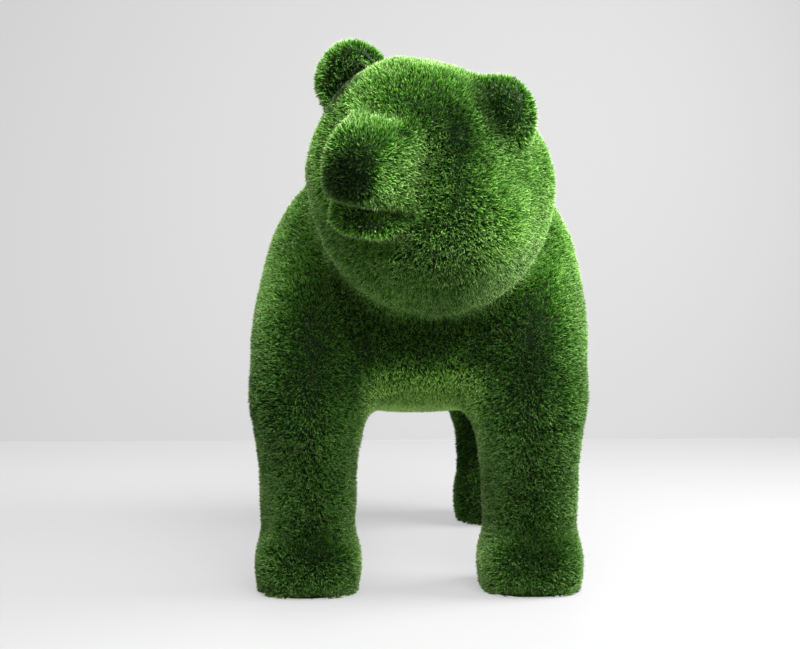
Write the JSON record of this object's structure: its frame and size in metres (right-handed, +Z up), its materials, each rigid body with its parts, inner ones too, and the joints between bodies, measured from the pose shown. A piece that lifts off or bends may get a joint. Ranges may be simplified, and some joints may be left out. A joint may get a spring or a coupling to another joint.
{
  "type": "topiary bear",
  "caption": "Life-size bear figure covered in artificial turf, standing on four legs with its head turned and tilted to one side",
  "frame": {"origin": "floor level under the middle of the figure's outline", "axes": "+Z up, the bear's chest looks towards -Y and its tail end towards +Y, +X is the bear's left side; the head is turned from -Y towards -X"},
  "size_m": [0.921, 1.9116, 1.4464],
  "materials": {
    "turf": "dense artificial grass, soft and matt, with lighter blade tips"
  },
  "bodies": {
    "root": {"topiary_bear": "turf"}
  },
  "joints": []
}
